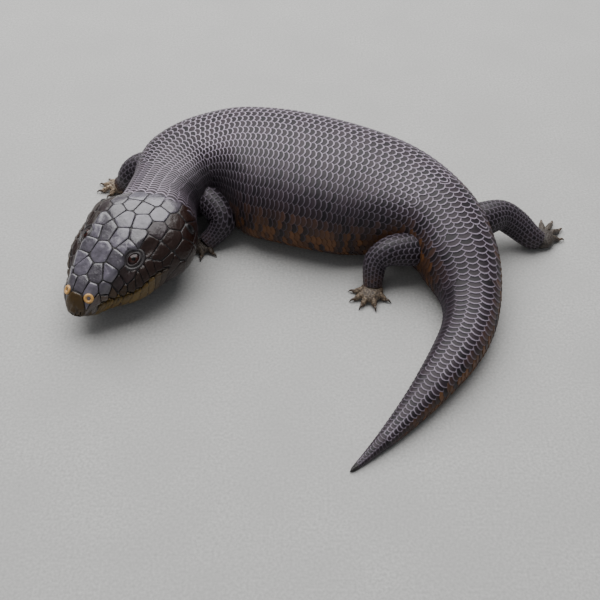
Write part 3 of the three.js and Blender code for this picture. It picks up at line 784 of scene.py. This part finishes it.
random = np.random.default_rng(7)
neck_pitch = smooth_curve([
    (60, 5.0), (66, 3.6), (72, 2.2), (80, 1.55), (92, 1.5), (105, 1.9), (118, 2.3)])
neck_scales = mesh_piece(
    "neck_scales", scale_finish,
    scale_band(63, 92, neck_pitch, 22, 0.0, pale=0.85) + scale_band(92, 112, neck_pitch, 32, 0.0, pale=0.9))
trunk_pitch = smooth_curve([(105, 2.1), (125, 2.6), (150, 3.0), (200, 3.3), (262, 3.2)])
trunk_scales = mesh_piece(
    "trunk_scales", scale_finish, scale_band(112, 240, trunk_pitch, 46, 0.15))
tail_pitch = smooth_curve([(240, 3.2), (300, 3.0), (350, 2.6), (398, 1.7)])
tail_scales = mesh_piece(
    "tail_scales", scale_finish,
    scale_band(240, 266, tail_pitch, 32, 0.2, pale=0.9) + scale_band(266, 290, tail_pitch, 24, 0.3, pale=0.8)
    + scale_band(290, 345, tail_pitch, 18, 0.35, pale=0.75, shade_from=0.34)
    + scale_band(345, 382, tail_pitch, 14, 0.35, pale=0.6, shade_from=0.34)
    + scale_band(382, 399, tail_pitch, 8, 0.3, pale=0.4, shade_from=0.34))
throat_pitch = smooth_curve([(6, 2.6), (30, 3.4), (NAPE, 4.2)])
throat_scales = mesh_piece(
    "throat_scales", scale_finish,
    scale_band(8, 63, throat_pitch, 30, 0.0, lowest=0.56, pale=0.3, brown=chin_amount))

# Scales of the limbs: the same horn plates, grown from the skin in rings down each limb. They are
# small and dark, with dull rims, and turn brown towards a pale foot.
LEG_PITCH = 2.2
LEG_COLUMNS = 18
LEG_THICKNESS = 0.34
LEG_TONE, LEG_RIM, LEG_BROWNING = 0.5, 0.24, (0.7, 1.0)
leg_grids = []
for number, (name, (surface, length)) in enumerate(limb_surfaces.items()):
    rings = int(length / LEG_PITCH)
    ring, column = np.meshgrid(np.arange(rings), np.arange(LEG_COLUMNS), indexing="ij")
    ring, column = ring.ravel(), column.ravel()
    first = (ring - FRONT_HIDDEN + (column % 2) * 0.5) / rings
    middle = column * 2 * math.pi / LEG_COLUMNS
    half = math.pi / LEG_COLUMNS * WIDTH_OVERLAP
    tone = random.random(len(ring))
    grid, values = tiles(surface, first, middle, OVERLAP / rings, half, LEG_THICKNESS, {
        "tone": tone * LEG_TONE, "pale": LEG_RIM,
        "flank": LIMBS[name]["pale"] * smooth_step(ring / rings, *LEG_BROWNING)})
    along = CELL_START + CELL_SIZE * TILE_ALONG[:, None]
    values["u"] = (ring[:, None, None] + along) / (rings + 1)
    across = 0.5 + CELL_SIZE / 2 * TILE_ACROSS
    values["v"] = (number + (column[:, None, None] + across) / LEG_COLUMNS) / len(LIMBS)
    leg_grids.append((grid, values))
leg_scales = mesh_piece("leg_scales", scale_finish, leg_grids)

# Shields of the head: large flat plates of thick horn, grown from the skin edge to edge, in pairs
# beside the midline and with amber ones along the mouth. The horn is lumpy and nearly black; its
# light grey on the crown is painted sheen, broken by noise into patches, under a clear coat that
# shines as if wet. On the cheeks it is dark brown and duller.
SHIELD_EDGE, WET_FADE, WETNESS = (0.05, 0.32), (0.1, 0.9), 0.85
shield_finish, tree, shader = finish_material("head_shield_horn")
# Light grey on the crown: painted sheen; the noise below darkens it in patches towards the horn's near black
plate = blend(tree, attribute(tree, "tone"), colour(0x544e57), colour(0x7c7584))
plate = blend(tree, grain(tree, 3.5), plate, colour(0x1b1719))
amber = blend(tree, attribute(tree, "tone"), colour(0x453514), colour(0x6c5626))
plate = blend(tree, attribute(tree, "cheek"), plate, colour(0x24140f))
plate = blend(tree, attribute(tree, "lip"), plate, amber)
side_face = blend(tree, attribute(tree, "lip"), colour(0x211d20), colour(0x120b08))
edge = fade(tree, attribute(tree, "gap"), *SHIELD_EDGE)
wet = add_node(tree, "ShaderNodeMath", {
    0: fade(tree, attribute(tree, "cheek"), *WET_FADE), 1: WETNESS}, operation="MULTIPLY").outputs[0]
feed(shader, {
    "Base Color": blend(tree, edge, plate, side_face), "Roughness": 0.34, "Specular IOR Level": 0.42,
    "Coat Weight": wet, "Coat Roughness": 0.2, "Normal": bump(tree, grain(tree, 2.8), 0.5)})

# Middles of the shields on the left half, as station and distance over the skin from the midline.
# Each shield takes up the room that is nearer to its middle than to any other's.
CROWN_SHIELDS = [
    (3.0, 0), (10.2, 0), (9.5, 6.2), (17, 4.3), (26.5, 0), (36.5, 3.9), (44.8, 0), (48, 8.2),
    (55.5, 3.6), (62.5, 4.4)]
SIDE_SHIELDS = [
    (20.5, 10), (27.2, 9.8), (34, 10.4), (40.8, 11.6), (14, 12.2), (19.5, 16.5), (25, 17.5), (41.5, 18.2),
    (42.5, 25), (48.8, 16.6), (50, 24.5), (55.8, 12), (57.2, 20), (51.5, 32.5), (58.8, 29), (54.5, 40),
    (62, 37), (63.3, 13.5), (64.5, 21.5), (46, 39)]
LIP_STATIONS = np.linspace(8.0, 42, 10)
LIP_OFF = 1.9
LOWER_LIP_SHIFT = 2
SHIELD_GROOVE = 0.24
SHIELD_RISE = 0.6
SHIELD_TILT = 0.8
NAPE_LOWERING = 0.4
SHIELD_REACH = 8.5
LEAST_REACH = 0.2
CORNER_SHARPNESS = 16
SPOKES = 48
SNOUT_EDGE, NAPE_EDGE, CHIN_EDGE = 0.25, 1.5, 3.0
SHIELD_SUNK, SHIELD_SLOPE = 2.4, 1.6
NEAR_NAPE, CHEEK_START, SNOUT_TIP = (48, 60), (10, 19), (3, 8)
# Rings of a shield as shares of its reach, and their heights as shares of its rise
SHIELD_ROUNDS = np.array([0.02, 0.3, 0.55, 0.78, 0.91, 0.97, 1, 1.03])
SHIELD_HEIGHTS = np.array([1, 1, 1, 0.98, 0.88, 0.6, 0.1, -0.7])
mouth_lengths = np.array([
    np.interp(angle, table_angles, ring) for angle, ring in zip(mouth_angle(table_stations), arc_lengths[0])])
lip_middles = np.interp(LIP_STATIONS, table_stations, mouth_lengths)
centres = CROWN_SHIELDS + SIDE_SHIELDS
centres += list(zip(LIP_STATIONS, lip_middles - LIP_OFF))
centres += list(zip(LIP_STATIONS + LOWER_LIP_SHIFT, lip_middles + LIP_OFF))
centres += [(station, -across) for station, across in centres if across > 0]
centres = np.array(centres)
apart = centres[None] - centres[:, None]
distance = np.linalg.norm(apart, axis=-1)
np.fill_diagonal(distance, 1)
limit = np.maximum(distance / 2 - SHIELD_GROOVE / 2, LEAST_REACH)
spoke_angles = np.linspace(0, 2 * math.pi, SPOKES + 1)
spokes = np.stack([np.cos(spoke_angles), np.sin(spoke_angles)], -1)
toward = np.maximum(np.einsum("ijk,sk->ijs", apart / distance[..., None], spokes), 0) / limit[..., None]
index = np.arange(len(centres))
toward[index, index] = 1 / SHIELD_REACH
reach = (toward ** CORNER_SHARPNESS).sum(1) ** (-1 / CORNER_SHARPNESS)
chart = centres[:, None, None] + (SHIELD_ROUNDS[None, :, None] * reach[:, None])[..., None] * spokes
shield_station = np.clip(chart[..., 0], SNOUT_EDGE, NAPE + NAPE_EDGE)
shield_angle = np.clip(angle_across(shield_station, chart[..., 1]), -CHIN_EDGE, CHIN_EDGE)
near_nape = smooth_step(centres[:, 0], *NEAR_NAPE)[:, None, None]
backward = 1 + SHIELD_TILT * (1 - near_nape) * SHIELD_ROUNDS[:, None] * spokes[:, 0]
rise = SHIELD_RISE * (1 - NAPE_LOWERING * near_nape)
shield_height = rise * SHIELD_HEIGHTS[None, :, None] * backward
shield_grid = skin_point(shield_station, shield_angle, shield_height)
shield_grid = with_sockets(shield_grid, SHIELD_SUNK, SHIELD_SLOPE)
on_cheek = smooth_step(np.abs(centres[:, 1]), *CHEEK_START)
on_snout_tip = 1 - smooth_step(centres[:, 0], *SNOUT_TIP)
CELL_COLUMNS, CELL_ROWS, CELL_RADIUS = 10, 12, 0.46
cell = np.arange(len(centres))[:, None, None]
in_cell = CELL_RADIUS * SHIELD_ROUNDS[:, None, None] / SHIELD_ROUNDS[-1] * spokes
head_shields = mesh_piece("head_shields", shield_finish, [(shield_grid, {
    "gap": reach[:, None] * (1 - SHIELD_ROUNDS[None, :, None]),
    "tone": random.random(len(centres))[:, None, None],
    "cheek": np.maximum(on_cheek, on_snout_tip)[:, None, None],
    "lip": lip_amount(centres[:, 0], angle_across(centres[:, 0], centres[:, 1]))[:, None, None],
    "u": (cell % CELL_COLUMNS + 0.5 + in_cell[..., 0]) / CELL_COLUMNS,
    "v": (cell // CELL_COLUMNS + 0.5 + in_cell[..., 1]) / CELL_ROWS})])

# Eyes: each a ball in its socket, held by the lids around it. The dark red-brown iris has a paler
# ring round a black pupil, under a clear wet cornea that gives one small sharp highlight.
EYE_RADIUS, EYE_SUNK = 4.6, 3.2
PUPIL_EDGE, RING_EDGE, IRIS_EDGE = (1.1, 1.2), (1.25, 1.45), (2.7, 1.9)
eye_finish, tree, shader = finish_material("eye")
off = attribute(tree, "off")
iris = blend(tree, grain(tree, 0.5), colour(0x1a0806), colour(0x35120c))
iris = blend(tree, fade(tree, off, *IRIS_EDGE), iris, colour(0x100504))
pale_ring = blend(tree, fade(tree, off, *RING_EDGE), iris, colour(0x3f2017))
feed(shader, {
    "Base Color": blend(tree, fade(tree, off, *PUPIL_EDGE), pale_ring, colour(0x020202)),
    "Roughness": 0.2, "Specular IOR Level": 0.3, "Coat Weight": 0.25, "Coat Roughness": 0.03})
ring_turns = np.linspace(0, 2 * math.pi, 49)[None]
ring_strip = 0.02 + 0.95 * ring_turns / (2 * math.pi)


def disc_point(place, off_along, off_around, height):
    """A point beside a place on the head = place + so far along + so far round + so far out."""
    point, outward, along, around = place
    return (point + off_along[..., None] * along + off_around[..., None] * around
            + height[..., None] * outward)[None]


def round_pieces(name, material, places, off, height, shape):
    """A pair of round forms: off is the distance from the middle, row by row, and height the rise
    out of the skin there; shape stretches it along and round the body."""
    off, height = np.array(off)[:, None], np.array(height)[:, None] + 0 * ring_turns
    off_along, off_around = off * np.cos(ring_turns) * shape[0], off * np.sin(ring_turns) * shape[1]
    return mesh_piece(name, material, [
        (disc_point(place, off_along, off_around, height), {
            "off": off, "u": (number + 0.96 * off / off.max()) / 2, "v": ring_strip})
        for number, place in enumerate(places)])


polar = np.linspace(0.01, 1.5, 22)
eyes = round_pieces(
    "eyes", eye_finish, eye_places,
    EYE_RADIUS * np.sin(polar), EYE_RADIUS * np.cos(polar) - EYE_SUNK, (1, 1))
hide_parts("eye_left", "eye_right")

# Eyelids: a thick fleshy fold round each eye with an almond opening and a thin pale rim, part of
# the skin of the head and lying close on the eyeball. The skin is dark and a little moist.
LID_RIM = (0.15, 0.6)
OPENING_ALONG, OPENING_AROUND = 3.1, 2.2
lid_finish, tree, shader = finish_material("eyelid_skin")
lid_skin = blend(tree, grain(tree, 0.8), colour(0x1c1819), colour(0x2e2829))
pale_rim = fade(tree, attribute(tree, "gap"), *LID_RIM)
feed(shader, {
    "Base Color": blend(tree, pale_rim, lid_skin, colour(0x3d3435)), "Roughness": 0.4,
    "Normal": bump(tree, grain(tree, 0.6), 0.06)})
lid_out = np.array([0, 0.15, 0.4, 0.8, 1.1, 1.3, 1.55, 1.9, 2.4, 2.9, 3.3])[:, None]
lid_rise = np.array([0.05, 0.45, 0.62, 0.6, 0.35, 0.15, 0.4, 0.6, 0.6, 0.3, -0.5])[:, None]
lid_along = np.cos(ring_turns) * (OPENING_ALONG + lid_out)
lid_around = np.sin(ring_turns) * (OPENING_AROUND + lid_out)
lid_off = np.minimum(np.hypot(lid_along, lid_around), EYE_RADIUS - 0.2)
lid_height = np.maximum(np.sqrt(EYE_RADIUS ** 2 - lid_off ** 2) - EYE_SUNK, 0) + lid_rise
eyelids = mesh_piece("eyelids", lid_finish, [
    (disc_point(place, lid_along, lid_around, lid_height), {
        "gap": lid_out, "u": (number + 0.05 + lid_out / 3.8) / 2, "v": ring_strip})
    for number, place in enumerate(eye_places)])

# Nostrils: a raised ring of skin round a hole, one on each side of the snout tip. The ring is thin
# soft skin, pale orange and slightly glossy. The hole is only a shallow dip, painted nearly black
# as painted shade for its depth.
NOSTRIL_OFF = [0.02, 0.4, 0.65, 0.95, 1.35, 1.75, 2.1]
NOSTRIL_RISE = [-0.5, -0.3, 0.2, 0.8, 1.0, 0.75, -0.2]
NOSTRIL_STATION, NOSTRIL_ANGLE = 6.8, 0.7
HOLE_EDGE, RING_OUTSIDE = (0.6, 0.8), (1.75, 2.05)
nostril_places = [place_on_head(NOSTRIL_STATION, NOSTRIL_ANGLE * side) for side in (1, -1)]
nostril_finish, tree, shader = finish_material("nostril_skin")
off = attribute(tree, "off")
pale_skin = blend(tree, grain(tree, 0.7), colour(0xb5803e), colour(0xd9af6d))
around_hole = blend(tree, fade(tree, off, *RING_OUTSIDE), colour(0x3a2815), pale_skin)
feed(shader, {
    # Painted shade: the near black of the hole
    "Base Color": blend(tree, fade(tree, off, *HOLE_EDGE), around_hole, colour(0x120a07)),
    "Roughness": 0.35})
nostrils = round_pieces(
    "nostrils", nostril_finish, nostril_places, NOSTRIL_OFF, NOSTRIL_RISE, (1.25, 1.25))

# Ears: a pit with a low raised edge behind each jaw corner, the way into the ear. The skin is dark
# and dull. The shallow pit is painted nearly black inside, as painted shade for the depth of the ear.
EAR_OFF = [0.02, 0.9, 1.5, 2.0, 2.5, 3.1]
EAR_RISE = [0.45, 0.5, 0.62, 0.95, 1.0, -0.3]
EAR_STATION, EAR_ANGLE, PIT_EDGE = 59.6, 1.12, (1.2, 2.2)
ear_places = [place_on_head(EAR_STATION, EAR_ANGLE * side) for side in (1, -1)]
ear_finish, tree, shader = finish_material("ear_skin")
pit = fade(tree, attribute(tree, "off"), *PIT_EDGE)
feed(shader, {
    # Painted shade: near black inside the pit
    "Base Color": blend(tree, pit, colour(0x1f1b1c), colour(0x050404)), "Roughness": 0.5,
    "Normal": bump(tree, grain(tree, 0.9), 0.08)})
ears = round_pieces("ears", ear_finish, ear_places, EAR_OFF, EAR_RISE, (0.75, 1.15))

# Floor: plain pale stone, which isn't part of the animal. It is sawn and unpolished, so it shows
# a fine even grain and no shine.
FLOOR_SIZE = 14
FLOOR_GRAIN, FLOOR_CLOUDS = 1.2, 40.0
floor_finish, tree, shader = finish_material("floor_stone")
stone = blend(tree, grain(tree, FLOOR_GRAIN, 4.0), colour(0x777674), colour(0xe2e1de))
stone = blend(tree, grain(tree, FLOOR_CLOUDS, 6.0), colour(0xa9a8a6), stone)
feed(shader, {"Base Color": stone, "Roughness": 0.85})
bpy.ops.mesh.primitive_plane_add(size=FLOOR_SIZE)
floor = bpy.context.object
floor.name = "floor"
floor.data.materials.append(floor_finish)


# Light: an overcast sky, brightest overhead and a little behind, and a weak glow from the front
def soft_light(name, place, size, watts):
    """A square soft light that faces the middle of the floor."""
    lamp = bpy.data.lights.new(name, "AREA")
    lamp.size = size
    lamp.energy = watts
    light = bpy.data.objects.new(name, lamp)
    light.location = place
    light.rotation_euler = (-Vector(place)).to_track_quat("-Z", "Y").to_euler()
    bpy.context.scene.collection.objects.link(light)


soft_light("sky_light", (-0.15, 0.62, 1.1), 1.7, 40)
soft_light("front_light", (-0.3, -1.0, 0.7), 0.9, 0.8)
world = bpy.data.worlds.new("overcast")
world.use_nodes = True
feed(world.node_tree.nodes["Background"], {"Color": colour(0xdfe3e8), "Strength": 0.27})
bpy.context.scene.world = world

# Camera: in front of the animal and well above it, looking down at the middle of its curve
CAMERA_TARGET = np.array([*(-FOOTPRINT_MIDDLE), 0]) * MM
CAMERA_DISTANCE = 0.44
CAMERA_RISE = math.radians(48)
FIELD_OF_VIEW = math.radians(38)
toward_camera = np.array([0, -math.cos(CAMERA_RISE), math.sin(CAMERA_RISE)])
lens = bpy.data.cameras.new("camera")
lens.angle = FIELD_OF_VIEW
camera = bpy.data.objects.new("camera", lens)
camera.location = CAMERA_TARGET + CAMERA_DISTANCE * toward_camera
camera.rotation_euler = (math.pi / 2 - CAMERA_RISE, 0, 0)
bpy.context.scene.collection.objects.link(camera)
bpy.context.scene.camera = camera
